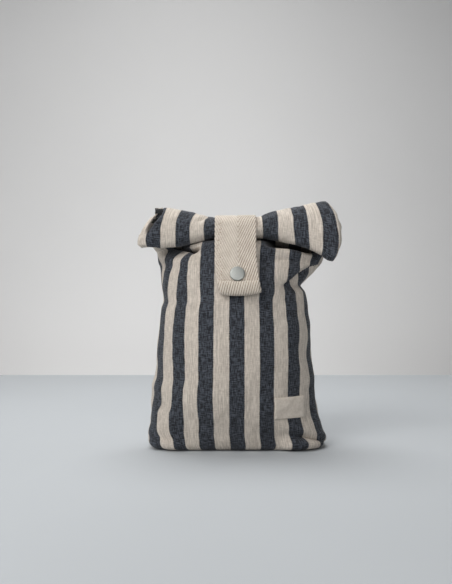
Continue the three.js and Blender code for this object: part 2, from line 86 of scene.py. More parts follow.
# Level sections of the filled body: reach of the sides, how far back they lie, bulge of each panel,
# squareness, and how far the cloth is turned round each side towards the front
SECTIONS = table(
    "z left right seam front back square squareRight turnLeft turnRight",
    (1.45, 75, 78.5, 1, 24, 23, 6, 5, 9, 0),
    (2.6, 81.5, 84.5, 0.7, 29, 27.5, 5.5, 4.6, 9, 0),
    (4.5, 85.5, 88.2, 0.3, 31.6, 30.5, 4.6, 3.8, 8.5, 0),
    (7, 88, 90.5, 0, 33, 32, 3.9, 3.2, 8, 0),
    (14, 88.3, 88.8, -1, 34.5, 36, 2.9, 2.5, 4, 0),
    (24, 87, 86, -0.4, 38.5, 40, 2.4, 2.2, 0, 0),
    (36, 86, 83, 0.6, 43.5, 44, 2.15, 1.9, -1, 0),
    (46, 86.8, 81, 1.7, 46.8, 45.5, 2.1, 1.95, 4.5, 0),
    (60, 86.3, 79, 3.3, 49.3, 46.5, 2.1, 2, 6.5, 0),
    (72, 82.3, 78, 5, 50.5, 47.3, 2.1, 2.1, 4.5, 0),
    (95, 80.5, 76.5, 8, 52, 48, 2.1, 2.1, 2, 0),
    (117, 80, 76.8, 12.4, 53, 47, 2.1, 2.1, 3, 0),
    (140, 77.5, 73.5, 17, 54, 45, 2.1, 2.1, 1, 0),
    (149, 74.5, 73, 18, 53.5, 44, 2.1, 2.1, 1, 0),
    (157, 76, 71.5, 19, 52.8, 43, 2.1, 2.1, 3.5, -3),
    (165, 78, 66.5, 19.6, 52, 42, 2.1, 2.1, 6.5, -6),
    (172, 78.5, 72.5, 20, 51, 41, 2.1, 2, 8, -3.5),
    (180, 80, 82.3, 20, 48.5, 38, 2.05, 1.68, 10, -2.6),
    (184, 81.3, 85.8, 20, 47.1, 36.2, 2.03, 1.57, 11, -2.7),
    (188, 82.5, 89, 20, 45.4, 34, 2, 1.47, 12, -2.8),
)

# Rows over the shoulders into the neck
FRONT_NECK = [
    neck(0.3, (-105, 0, 18, 201), (-97, 8, 13, 200.5), (-90, 13, 6, 199.5), (-75, 11.5, -5, 197.4),
        (-62, 7, -11.5, 196), (-50, 2, -16, 194.3), (-42, 0, -17.5, 195.8), (-34, 0, -19, 200),
        (-22, 0, -20.5, 202), (22, 0, -20.5, 202), (38, 0, -16.5, 200.5), (52, 0, -11.5, 199.8),
        (75, 0, 0, 196.3), (90, 0, 9, 195.6), (105, 0, 18, 201),
    ),
    neck(0.45, (-105, 0, 16, 205), (-97, 8, 15.5, 203.5), (-90, 13, 16.5, 201), (-75, 12.5, 19, 198),
        (-62, 9.5, 20, 196.6), (-50, 5.5, 16, 195.6), (-45, 3, 8, 197), (-41, 1, -7, 199.6),
        (-34, 0, -18, 204.5), (-22, 0, -19, 206.5), (22, 0, -18, 206), (38, 0, 8, 200),
        (52, 0, 18, 198.5), (75, 0, 21, 197), (90, 0, 17, 200), (105, 0, 16, 205),
    ),
    neck(0.6, (-105, 0, 14, 209), (-90, 6, 15.5, 206), (-75, 7, 20, 203), (-66, 4, 15, 202.8),
        (-60, 2, 4, 203.4), (-55, 1.5, -4, 203.8), (-50, 1, -9, 204.4), (-45, 1, -12, 205),
        (-34, 0, -14, 208), (-22, 0, -10, 209.3), (22, 0, -8, 209.5), (38, 0, 15, 205),
        (52, 0, 23, 203), (75, 0, 22, 203), (90, 0, 17, 206), (105, 0, 14, 209),
    ),
    neck(0.75, (-105, 5, 9.5, 217.5), (-90, 3, 14.5, 211), (-75, 3, 17, 208.5), (-62, 3, 17, 208.5),
        (-50, 2, 14, 209), (-44, 1, 12, 209.5), (-34, 0, 10, 209.8), (-22, 0, 10, 210.8),
        (22, 0, 10, 211), (38, 0, 16, 210.5), (52, 0, 19, 210), (75, 0, 19, 210), (90, 0, 15, 211),
        (105, 0, 9.5, 217.5),
    ),
    neck(0.9, (-105, 10, 5, 226), (-90, 4, 8, 221), (-62, 0, 12.5, 217), (-42, 0, 15, 218),
        (0, 0, 16, 219.5), (42, 0, 15, 218), (62, 0, 12.5, 217), (105, 0, 5, 226),
    ),
]
BACK_NECK = [
    neck(0.3, (-105, 0, 18, 201), (-80, 0, 31, 202.5), (0, 0, 46, 205), (80, 0, 31, 202.5),
        (105, 0, 18, 201),
    ),
    neck(0.45, (-105, 0, 16, 205), (-80, 0, 26.5, 207.5), (0, 0, 40.5, 210.5), (80, 0, 26.5, 207.5),
        (105, 0, 16, 205),
    ),
    neck(0.6, (-105, 0, 14, 209), (-80, 0, 21.5, 213), (0, 0, 35, 215.3), (80, 0, 21.5, 213),
        (105, 0, 14, 209),
    ),
    neck(0.75, (-105, 5, 9.5, 217.5), (-80, 0, 15.8, 219.5), (0, 0, 27.8, 220.5), (80, 0, 15.8, 219.5),
        (105, 0, 9.5, 217.5),
    ),
    neck(0.9, (-105, 10, 5, 226), (-80, 0, 10.3, 226), (0, 0, 20.3, 224.8), (80, 0, 10.3, 226),
        (105, 0, 5, 226),
    ),
]

# The rolled mouth: place of each column on its front, reach of its outer turn, how far its ends draw in
ROLL = table(
    "u x top bottom front deep topIn bottomIn",
    (-105, -99.5, 245.5, 202.5, -22, 13, 10, -2),
    (-82, -75.5, 244.5, 202.5, -22, 14, 4.5, -1.2),
    (-60, -54.5, 241, 205, -21.5, 15, 5.5, 0),
    (-44, -39.5, 237, 209, -20.5, 16.5, 5, 0.5),
    (-24, -20.5, 234.5, 212, -20, 17, 2, 0),
    (20, 23.7, 235, 213, -20, 17, 0.3, -0.8),
    (27, 31.2, 238.8, 212, -20.2, 17, 0.6, -1.2),
    (38, 42.5, 242, 209.5, -20.5, 16.5, 1, -1.5),
    (60, 65, 246, 203.7, -21.5, 15, 2.5, -3),
    (82, 86, 250, 195, -23, 13.5, 5.5, 0),
    (97, 101, 251.5, 189, -23.8, 12.5, 11, 3.5),
    (105, 106, 248, 192, -18.5, 9, 15, 5),
)
ROLL_PITCH = 4
ROLL_START = 35
ROLL_TURNS = 1.5
ROLL_STEPS = 28
ROLL_LEAN = {"share": 0.27, "across": (22, 45)}
ROLL_FLAT = 0.72
MM_A_DEGREE = 0.34

# The roll's ends, by height on the roll from its underside up: for columns at these distances from the
# middle of the cloth, their places across and how far they lie back. The left end folds under itself
# and shows its last edge.
END_START = 82
FOLDED_UNDER = {"across": (85, 90), "tight": 1}
LEFT_COLUMNS = (88.5, 91.5, 96.5, 99.5, 105)
LEFT_ACROSS = table(
    "up crest under edge ridge end",
    (-1, -82, -85.3, -89.6, -91.5, -95.5),
    (-0.86, -82.5, -86, -90.2, -92.8, -100),
    (-0.65, -84, -87, -90.8, -93, -99.6),
    (-0.4, -86.5, -88.5, -90.5, -92, -97.6),
    (-0.18, -87.4, -86.2, -89.4, -91.8, -95.3),
    (0, -84.3, -82.3, -87.4, -90.8, -93.6),
    (0.3, -80.2, -78.2, -84, -87.6, -89.6),
    (0.61, -76.4, -74.8, -81.6, -84.4, -84.8),
    (0.8, -74.4, -73.2, -83.3, -80.5, -77),
    (1, -74.5, -74, -83.8, -80, -76),
)
LEFT_BACK = table(
    "up crest under edge ridge end",
    (-1, 0, 0, 0.5, 1, 2),
    (-0.65, 0, 0, 0.5, 1, 4),
    (-0.4, -0.5, 1, 1.5, 1.5, 5),
    (-0.18, -1, 4, 8, 2, 6),
    (0, -1.2, 9, 16, 2.5, 6),
    (0.3, -1.2, 9, 16, 3.5, 6),
    (0.61, -1.2, 9, 14, 7, 8),
    (0.8, -1, 7, 9, 11, 12),
    (1, -0.5, 4, 6, 10, 12),
)
RIGHT_COLUMNS = (88.5, 92.5, 97.5, 105)
RIGHT_ACROSS = table(
    "up crest under edge end",
    (-1, 89.5, 92, 96.3, 96.5),
    (-0.91, 90.5, 93.3, 97.8, 98.5),
    (-0.71, 92, 95.2, 100.3, 101.5),
    (-0.4, 93, 96.2, 101.6, 106),
    (-0.2, 93, 96.2, 101.8, 106.4),
    (0.17, 91.5, 94.8, 100.6, 105),
    (0.44, 90, 93.3, 99.3, 104),
    (0.67, 88.3, 91.5, 97.3, 102.6),
    (0.84, 87, 89.8, 94.9, 97),
    (1, 85, 87.3, 91.4, 91),
)
RIGHT_BACK = table(
    "up crest under edge end",
    (-1, 0, 0, 0, 2),
    (-0.71, 0, 0, 0, 4),
    (0.84, 0, 0, 0, 4),
    (1, 0, 0, 0, 3),
)
ROLL_ENDS = [(-1, LEFT_COLUMNS, LEFT_ACROSS, LEFT_BACK), (1, RIGHT_COLUMNS, RIGHT_ACROSS, RIGHT_BACK)]

# Strap: webbing sewn on the back at a height, over the roll, then clear of the front by out at each height
STRAP = {"width": 41, "thick": 1.8, "lift": 0.3, "backEnd": 150, "leaveAngle": 165}
STRAP_LEAN = {"topX": -1.2, "footX": 4, "skew": 0.04}
STRAP_FREE = table("z out", (200, 5.6), (188, 5.3), (176, 4.8), (167, 5.5), (162, 5.3), (155.8, 4.3))
STRAP_COLUMNS = 72
STRAP_STEP = 0.6
STRAP_KEYS = 60
STRAP_SAMPLES = 1600
STRAP_BED = 30
CLEAR_OF_STRAP = (-21, 15.4)

# The webbing's ribs slant both ways from a line beside its middle, and are fainter on the left, in relief
# and in their painted valley shade
RIB_PITCH = 2.45
RIB_SLANT = 0.46
RIB = {"high": 0.6, "round": 0.8, "sunk": 0.6}
# The vee's colour is the half width over which the painted valley shade grows from faint to full
VEE = {"at": 2.5, "relief": 2, "colour": 3}
FAINT_RIBS = 0.55
SELVEDGE = {"plain": 1.04, "ribbed": 2.6}
EDGE = {"drop": 0.6, "wide": 0.5}
SERRATION = {"out": 0.35, "wide": 1.2}

# The strap's end, turned back into a round hem and stitched across
HEM = {"long": 14.5, "bulge": 4.2, "round": 2.2, "under": 1, "dip": 1.6, "endRound": 5, "corner": 4}
HEM_RIBS = (0.6, -2.2)
HEM_STEP = 0.3
HEM_STITCH = {"deep": 0.7, "wide": 0.9}
NOSE = {"over": 0.6, "least": 0.02}

# Label on the lower right of the front, its edges pressed down
LABEL = {"fromU": 38, "toU": 72.5, "fromZ": 33.1, "high": 22, "thick": 0.75, "lift": 0.35}
LABEL_PUFF = {"high": 0.25, "edge": (0.4, 3)}
LABEL_EDGE = (-0.6, 0.5)
LABEL_COLUMNS = 60
LABEL_ROWS = 36

# Press stud's cap, on the strap's inner face at a height: radius and height of its profile
STUD_Z = 175.2
CAP_FOOT = 2.3
CAP_PROFILE = [
    (7.2, 0), (7.45, 0.15), (7.5, 0.5), (7.45, 0.95), (7.28, 1.32), (7, 1.55), (6.6, 1.68),
    (6, 1.78), (5, 1.92), (4, 2.03), (3, 2.11), (2, 2.16), (1, 2.19), (0.2, 2.2),
]

# Stitches: length and thickness of the thread
HEM_THREAD = (2.4, 0.7)
BACK_THREAD = (2.6, 0.7)
LABEL_THREAD = (1.9, 0.5)
STITCH_PITCH = 1.35
STITCH_RINGS = table(
    "along size drop",
    (-0.5, 0.15, 0.5), (-0.42, 0.75, 0.1), (-0.2, 1, 0), (0.2, 1, 0), (0.42, 0.75, 0.1), (0.5, 0.15, 0.5),
)
STITCH_SIDES = 6
STITCH_FLAT = 0.7
STITCH_RISE = 0.35
BOX_ROWS = (5, 45)
BOX_COLUMNS = (3, STRAP_COLUMNS - 3)
LABEL_ENDS = {"left": 3, "right": LABEL_COLUMNS - 3}
INNER = slice(2, -2)

# A soft trough that the solids have too: distance round the cloth, height, share of its length
CREASE = [(-135, 188, 0), (-60, 184, 1)]
CREASE_SIZE = {"wide": 6, "deep": 3}

# Folds of the body: places round the cloth and up it, depth and half width
BODY_FOLDS = [
    [(40, 20, 0, 4), (54, 16.5, 2, 3.6), (64, 14, 3.2, 3.2), (76, 10.8, 3.6, 3), (86, 8.4, 3.4, 3),
     (97, 6, 2, 3)],
    [(40, 7, 0, 4), (52, 6, -3.2, 4), (63, 5.5, -4.8, 4), (73, 5.2, -2.6, 4), (82, 5, 0, 4)],
    [(-96, 5, 0, 4), (-80, 5, -3.5, 4), (-64, 5.5, -3, 4), (-44, 6, 0, 4)],
    [(-98, 14, 0, 3), (-90, 9, 2, 2.6), (-80, 4, 1.5, 2.6)],
    [(-105, 150, 0, 8), (-105, 175, 3, 9), (-105, 200, 4, 9)],
    [(-104, 60, 0, 6), (-88, 48, 1.2, 6), (-70, 40, 0, 6)],
    [(-104, 30, 0, 5), (-90, 20, 1, 5), (-74, 8, 0, 4)],
]
OFF_BASE = (1.8, 5.5)
NECK_FADE = 1.2

# The right shoulder's puff over its pinched side: places round the cloth and up it, rise above that line,
# draw-in below it, width of its turn, and how far the cloth below has slipped towards the front
SHOULDER = [
    (120, 190, 0, 0, 10, 6), (97, 187.5, 0.7, 1, 8, 15), (84.5, 185.3, 2, 2.5, 6, 15),
    (75.7, 182, 3, 4, 4, 13), (65.5, 177.5, 3, 4.2, 3, 9), (58, 172, 2.2, 3.2, 3.5, 5),
    (50, 168.5, 1, 1.4, 4, 2), (42, 167, 0, 0, 4, 0),
]
RISE_REACH = 18
DRAW_REACH = 12
SLIP_EDGE = (-1, 2.5)
SLIP_REACH = 15

# Folds of the roll: places across the cloth and round the roll in degrees, depth and half width
ROLL_FOLDS = [
    [(-18, 177, 1.3, 2.2), (-33, 176, 1.2, 2.2), (-41, 170, 0, 2.2)],
    [(-37, 104, 1, 3), (-40, 130, 2, 3.2), (-47, 166, 0, 3)],
    [(17.4, 108, 3.6, 2.1), (17.6, 150, 4, 2.1), (17.8, 180, 1.5, 2.1)],
    [(27, 158, 0, 1.6), (30, 167, 0.7, 1.6), (34, 178, 0, 1.6)],
    [(31, 146, 0, 1.6), (34, 156, 0.6, 1.6), (37, 168, 0, 1.6)],
    [(44, 142, 0, 2.6), (48, 165, 0.9, 2.6), (53, 195, 0, 2.6)],
    [(72, 140, 0, 2.6), (75, 165, 0.9, 2.6), (80, 200, 0, 2.6)],
    [(-82, 146, 0, 3), (-90, 170, -1.3, 3), (-97, 195, 0, 3)],
]

# A fold's raised lips: their share of its depth, and how many half widths off they stand
BODY_LIP = 0.35
ROLL_LIP = 0.2
LIP_OFF = 1.9

# Uneven cloth: height, seed, shortest and longest wave
BODY_WAVES = (0.7, 5, 28, 80)
BODY_RIPPLES = (0.22, 6, 9, 24)
ROLL_RIPPLES = (0.25, 9, 8, 26)
RAGGED_END = (0.9, 31, 5, 14)
RAGGED_FROM = (99, 105)
LABEL_RIPPLES = (0.12, 21, 6, 16)
WAVE_COUNT = 14

# Where shade is painted into the cloth's colour, darkening closed folds: under the roll, and in the groove
# of its left end
PAINTED_SHADE_UNDER_ROLL = {"left": -6, "right": -14, "ease": 14, "sides": (92, 78), "first": (0.1, 0.7), "last": (3.3, 2.1)}
PAINTED_SHADE_IN_GROOVE = {"outside": (-100.2, -98.4), "inside": (-89, -91.5), "up": (-0.35, -0.05)}

# Rows and columns of the cloth's mesh, closer at the side seams, the base's edge and the roll's outer turn
FRONT = {"facing": -1, "neck": FRONT_NECK, "rollStep": 3, "innerStep": 4}
BACK = {"facing": 1, "neck": BACK_NECK, "rollStep": 1.5, "innerStep": 3}
NECK_STEP = 1.25
BOTTOM_ROWS = 8
EASE = (0.1, 0.25, 0.5)
SIDE_FROM = 89
SIDE_COLUMNS = 20
MIDDLE_COLUMNS = 112
BY_SEAM = np.linspace(SIDE_FROM, SEAM_EDGE, SIDE_COLUMNS + 1)[1:]
MIDDLE = np.linspace(-SIDE_FROM, SIDE_FROM, MIDDLE_COLUMNS + 1)
CLOTH_COLUMNS = np.concatenate([-BY_SEAM[::-1], MIDDLE, BY_SEAM])
BASE_EDGE_TOP = 8
BASE_EDGE_ROWS = 14
BODY_FROM = 9.2
BODY_ROWS = 144
BODY_HEIGHTS = np.concatenate([
    np.linspace(SECTIONS["z"][0], BASE_EDGE_TOP, BASE_EDGE_ROWS),
    np.linspace(BODY_FROM, SECTIONS["z"][-1], BODY_ROWS),
])
NECK_KEY = len(BODY_HEIGHTS) + len(EASE)
SECTION_SAMPLES = 400

# From the middle stripe's frame to the row frame
SHIFT = np.array([-1.44, -9.92, 0])


def read(columns, field, at):
    """A table's field at any places along its first column, by a cubic that doesn't overshoot."""
    x, y = next(iter(columns.values())), columns[field]
    slope = np.diff(y) / np.diff(x)
    product = slope[:-1] * slope[1:]
    total = slope[:-1] + slope[1:]
    inner = np.where(product > 0, 2 * product / np.where(product > 0, total, 1), 0)
    tangent = np.concatenate([slope[:1], inner, slope[-1:]])
    i = np.clip(np.searchsorted(x, at) - 1, 0, len(x) - 2)
    span = x[i + 1] - x[i]
    t = np.clip((at - x[i]) / span, 0, 1)
    ease = t * t * (3 - 2 * t)
    lead = t * (1 - t) ** 2 * span * tangent[i]
    tail = t * t * (1 - t) * span * tangent[i + 1]
    return y[i] + ease * (y[i + 1] - y[i]) + lead - tail


def smooth(low, high, at):
    """From 0 at low to 1 at high in an S, whichever of the two is the larger."""
    t = np.clip((at - low) / (high - low), 0, 1)
    return t * t * (3 - 2 * t)


def bell(off, wide=1):
    """1 on a line, falling away on both sides of it."""
    return np.exp(-((off / wide) ** 2))


def distances(places):
    """Distance along a line of places from its start."""
    return np.concatenate([[0], np.cumsum(norm(np.diff(places, axis=0), axis=1))])


def quarter_section(reach, bulge, square, share):
    """Places by length on a quarter of a level section, from the panel's middle to its side seam."""
    angle = np.linspace(0, np.pi / 2, SECTION_SAMPLES)
    across = reach * np.sin(angle) ** (2 / square)
    deep = bulge * np.clip(np.cos(angle), 0, 1) ** (2 / square)
    deep[-1] = 0
    length = distances(np.stack([across, deep], 1))
    goal = share * length[-1]
    return np.interp(goal, length, across), np.interp(goal, length, deep)


def round_the_bag(panel, u):
    """Distance along the cloth from the front's middle stripe, past the side seam on to the back."""
    return u if panel["facing"] < 0 else np.where(u < 0, -1, 1) * (2 * HALF_WIDTH - np.abs(u))


def nearest_on(path, a, b):
    """Signed distance from a line of places, and the line's other columns at the nearest place on it."""
    best = np.full(a.shape, 1e9)
    signed = np.zeros(a.shape)
    others = np.zeros((len(path[0]) - 2, *a.shape))
    for (a0, b0, *first), (a1, b1, *second) in zip(path, path[1:]):
        da, db = a1 - a0, b1 - b0
        t = np.clip(((a - a0) * da + (b - b0) * db) / (da * da + db * db), 0, 1)
        off_a, off_b = a - a0 - t * da, b - b0 - t * db
        off = np.hypot(off_a, off_b)
        nearer = off < best
        best = np.where(nearer, off, best)
        signed = np.where(nearer, np.sign(da * off_b - db * off_a) * off, signed)
        for other, start, end in zip(others, first, second):
            other[nearer] = (start + t * (end - start))[nearer]
    return signed, others


def turned(around, row, slips):
    """Where the cloth lies on the section: turned, tucked, dragged on the base and slipped."""
    left = smooth(*TURNED["left"], around) * smooth(*TURNED["leftEnd"], around)
    right_end = smooth(*TURNED["rightEnd"], around)
    right = smooth(*TURNED["right"], around) * right_end
    tucked = TUCK["by"] * smooth(*TUCK["around"], around) * right_end * smooth(*TUCK["z"], row["z"])
    low = smooth(*BASE_DRAG["z"], row["z"]) * smooth(*BASE_DRAG["around"], around)
    dragged = BASE_DRAG["by"] * low * smooth(*BASE_DRAG["end"], around)
    below, (*_, slip) = nearest_on(SHOULDER, around, np.full_like(around, row["z"]))
    slipped = slip * smooth(*SLIP_EDGE, below) * bell(np.maximum(below, 0), SLIP_REACH)
    return around + row["turnLeft"] * left - row["turnRight"] * right - tucked + dragged - slipped * slips


def section_row(z, panel, u, slips=True):
    """A panel's places on the level section at a height."""
    row = {name: read(SECTIONS, name, np.array([z]))[0] for name in SECTIONS}
    around = round_the_bag(panel, u)
    place = turned(around, row, slips)
    on_front = np.abs(place) <= HALF_WIDTH
    share = np.where(on_front, np.abs(place), 2 * HALF_WIDTH - np.abs(place)) / HALF_WIDTH
    x, y = np.zeros_like(u), np.zeros_like(u)
    for side, left in (("left", True), ("right", False)):
        for bulge, front in (("front", True), ("back", False)):
            here = ((place < 0) == left) & (on_front == front)
            square = row["square" if left or not front else "squareRight"]
            across, deep = quarter_section(row[side], row[bulge], square, share[here])
            x[here] = -across if left else across
            y[here] = row["seam"] + (-deep if front else deep)
    near_corner = bell(np.abs(around) - BASE_CORNER["at"], BASE_CORNER["wide"])
    y -= BASE_CORNER["out"] * near_corner * math.exp((SECTIONS["z"][0] - row["z"]) / BASE_CORNER["high"])
    inward = np.stack([-x / 2, row["seam"] - y], 1)
    inward /= np.maximum(norm(inward, axis=1, keepdims=True), 1e-9)
    level = np.full_like(u, row["z"])
    off, (along,) = nearest_on(CREASE, around, level)
    depth = CREASE_SIZE["deep"] * np.sin(np.pi * along) * bell(off, CREASE_SIZE["wide"])
    return np.stack([x + inward[:, 0] * depth, y + inward[:, 1] * depth, level], 1)


def neck_row(shift, across, panel, u):
    body = section_row(SECTIONS["z"][-1], panel, u, slips=False)[:, 0]
    x = body + shift * (read(ROLL, "x", u) - body) + read(across, "dx", u)
    return np.stack([x, read(across, "y", u), read(across, "z", u)], 1)


def roll_row(degrees, u):
    """One line along the roll: 90 degrees is its top, 180 its front and 270 its underside."""
    angle = math.radians(degrees)
    up = math.sin(angle)
    wound = ROLL_PITCH * (degrees - 180) / 360 + OUTER_FACE
    column = {name: read(ROLL, name, u) for name in ROLL if name != "u"}
    high = (column["top"] - column["bottom"]) / 2
    centre_z = (column["top"] + column["bottom"]) / 2 - ROLL_PITCH / 4
    drawn_in = up**2 * column["topIn" if up > 0 else "bottomIn"]
    x = column["x"] - np.sign(u) * drawn_in
    rise = (high - wound) * up
    level = math.cos(angle) if math.cos(angle) > 0 else -(abs(math.cos(angle)) ** ROLL_FLAT)
    y = column["front"] + column["deep"] + (column["deep"] - wound) * level
    y += ROLL_LEAN["share"] * smooth(*ROLL_LEAN["across"], np.abs(u)) * rise
    forward = max(0.0, -math.cos(angle)) ** 0.5
    for side, columns, across, back in ROLL_ENDS:
        k = int(np.argmin(np.abs(ROLL["u"] - side * END_START)))
        first = ROLL["x"][k] - side * up**2 * ROLL["topIn" if up > 0 else "bottomIn"][k]
        names = [name for name in across if name != "up"]
        rows = [(END_START, first, 0)]
        for out, name in zip(columns, names):
            rows.append((out, *(read(ends, name, np.array([up]))[0] for ends in (across, back))))
        knots = table("out x back", *rows)
        outside = side * u > END_START
        x[outside] = read(knots, "x", side * u[outside])
        y[outside] += forward * read(knots, "back", side * u[outside])
    return np.stack([x, y, centre_z + rise], 1)


def eased_rows(start, neck, panel, u):
    """Rows from the body's last section to the first of the neck, leaving the body at its own slope."""
    below, top = (section_row(z, panel, u, slips=False) for z in BODY_HEIGHTS[-2:])
    end, after = neck[:2]
    long = norm(end - start, axis=1, keepdims=True)
    lead = (top - below) / norm(top - below, axis=1, keepdims=True) * long
    tail = (after - start) / 2
    return [(1 + 2 * t) * (1 - t) ** 2 * start + t * (1 - t) ** 2 * lead + t * t * (3 - 2 * t) * end
            - t * t * (1 - t) * tail for t in EASE]


def key_rows(panel, u):
    rows = [section_row(z, panel, u) for z in BODY_HEIGHTS]
    neck = [neck_row(shift, across, panel, u) for shift, across in panel["neck"]]
    rows += eased_rows(rows[-1], neck, panel, u) + neck
    steps = round(ROLL_TURNS * ROLL_STEPS)
    rows += [roll_row(ROLL_START + 360 * i / ROLL_STEPS, u) for i in range(steps + 1)]
    return np.array(rows)


def spline(keys, at):
    """Smooth curves through rows of points, at places counted in rows."""
    ends = np.concatenate([2 * keys[:1] - keys[1:2], keys, 2 * keys[-1:] - keys[-2:-1]])
    i = np.clip(np.floor(at).astype(int), 0, len(keys) - 2)
    t = (at - i)[:, None, None]
    p0, p1, p2, p3 = (ends[i + k] for k in range(4))
    steps = (p1 - p0, p2 - p1, p3 - p2)
    d0, d1, d2 = (np.sqrt(norm(step, axis=2, keepdims=True)) for step in steps)
    d1 = np.where(d1 < 1e-4, 1, d1)
    d0 = np.where(d0 < 1e-4, d1, d0)
    d2 = np.where(d2 < 1e-4, d1, d2)
    m1 = ((p1 - p0) / d0 - (p2 - p0) / (d0 + d1) + (p2 - p1) / d1) * d1
    m2 = ((p2 - p1) / d1 - (p3 - p1) / (d1 + d2) + (p3 - p2) / d2) * d1
    return p1 + t * m1 + t**2 * (3 * (p2 - p1) - 2 * m1 - m2) + t**3 * (2 * (p1 - p2) + m1 + m2)


def normals_of(grid, facing):
    side = np.gradient(grid, axis=1)
    up = np.gradient(grid, axis=0)
    normal = np.cross(side, up) * -facing
    return normal / np.maximum(norm(normal, axis=2, keepdims=True), 1e-9)


def fine_rows(panel, keys):
    """Places along a panel, counted in key rows, at even distances past the body."""
    lengths = norm(np.diff(keys, axis=0), axis=2).mean(1)
    roll_key = NECK_KEY + len(panel["neck"])
    body = len(BODY_HEIGHTS) - 1
    places = list(range(body))
    for k in range(body, len(lengths)):
        on_outer_turn = k < roll_key + ROLL_STEPS
        step = NECK_STEP if k < roll_key else panel["rollStep" if on_outer_turn else "innerStep"]
        count = max(1, round(lengths[k] / step))
        places += [k + s / count for s in range(count)]
    return np.array([*places, len(lengths)])


def ripple(waves, a, b):
    """A seeded uneven surface of waves between two lengths."""
    high, seed, shortest, longest = waves
    rng = np.random.default_rng(seed)
    total = np.zeros_like(a)
    for _ in range(WAVE_COUNT):
        turn, start = rng.uniform(0, np.pi), rng.uniform(0, 2 * np.pi)
        length = rng.uniform(shortest, longest)
        total += np.sin(2 * np.pi * (a * math.cos(turn) + b * math.sin(turn)) / length + start)
    return high * total / math.sqrt(WAVE_COUNT)


def folds(paths, a, b, lip):
    """Heights of soft troughs, with a raised lip on each side."""
    height = np.zeros_like(a)
    for path in paths:
        off, (depth, width) = nearest_on(path, a, b)
        q = np.abs(off) / width
        height += depth * (lip * bell(q - LIP_OFF) - bell(q))
    return height


def overhang(a, b):
    """Heights of the shoulder's puff over its drawn-in hollow, along a line read from right to left."""
    below, (rise, draw, width, _) = nearest_on(SHOULDER, a, b)
    up = -below
    puff = rise * bell(up, RISE_REACH)
    hollow = -draw * bell(up + width, DRAW_REACH)
    share = smooth(-width, 0, up)
    return hollow + share * (puff - hollow)


def body_relief(panel, at, wide, z):
    """Heights of the body's folds, fading out at the base, in the neck and under the sewn strap."""
    around = round_the_bag(panel, wide)
    on_body = (1 - smooth(len(BODY_HEIGHTS) - 1, NECK_KEY + NECK_FADE, at))[:, None]
    free = 1 - (panel is BACK) * np.exp(-((wide / STRAP_BED) ** 8))
    uneven = ripple(BODY_WAVES, around, z) + ripple(BODY_RIPPLES, around, z)
    height = folds(BODY_FOLDS, around, z, BODY_LIP) + overhang(around, z) + uneven * free
    return height * on_body * smooth(*OFF_BASE, z)


def roll_relief(panel, wide, turn):
    """Heights of the roll's dents, which both layers share, clear of the strap."""
    paths = [[(a, b * MM_A_DEGREE, depth, width) for a, b, depth, width in path] for path in ROLL_FOLDS]
    up = turn * MM_A_DEGREE
    dents = folds(paths, wide, up, ROLL_LIP) + ripple(ROLL_RIPPLES, wide, up)
    return dents * panel["facing"] * ((wide < CLEAR_OF_STRAP[0]) | (wide > CLEAR_OF_STRAP[1]))


def painted_fold_shade(panel, at, wide, turn, on_roll, y):
    """How much painted shade each place gets for lying deep in a closed fold, from 0 to 1."""
    if panel is FRONT:
        start = np.where(wide > 0, PAINTED_SHADE_UNDER_ROLL["right"], PAINTED_SHADE_UNDER_ROLL["left"])
        deep = smooth(start, start + PAINTED_SHADE_UNDER_ROLL["ease"], y) * smooth(*PAINTED_SHADE_UNDER_ROLL["sides"], np.abs(wide))
        up_neck = at - NECK_KEY
        return deep * (smooth(*PAINTED_SHADE_UNDER_ROLL["first"], up_neck) * smooth(*PAINTED_SHADE_UNDER_ROLL["last"], up_neck))[:, None]
    angle = np.radians(turn)
    groove = smooth(*PAINTED_SHADE_IN_GROOVE["outside"], wide) * smooth(*PAINTED_SHADE_IN_GROOVE["inside"], wide)
    return groove * smooth(*PAINTED_SHADE_IN_GROOVE["up"], np.sin(angle)) * on_roll * (np.cos(angle) < 0)


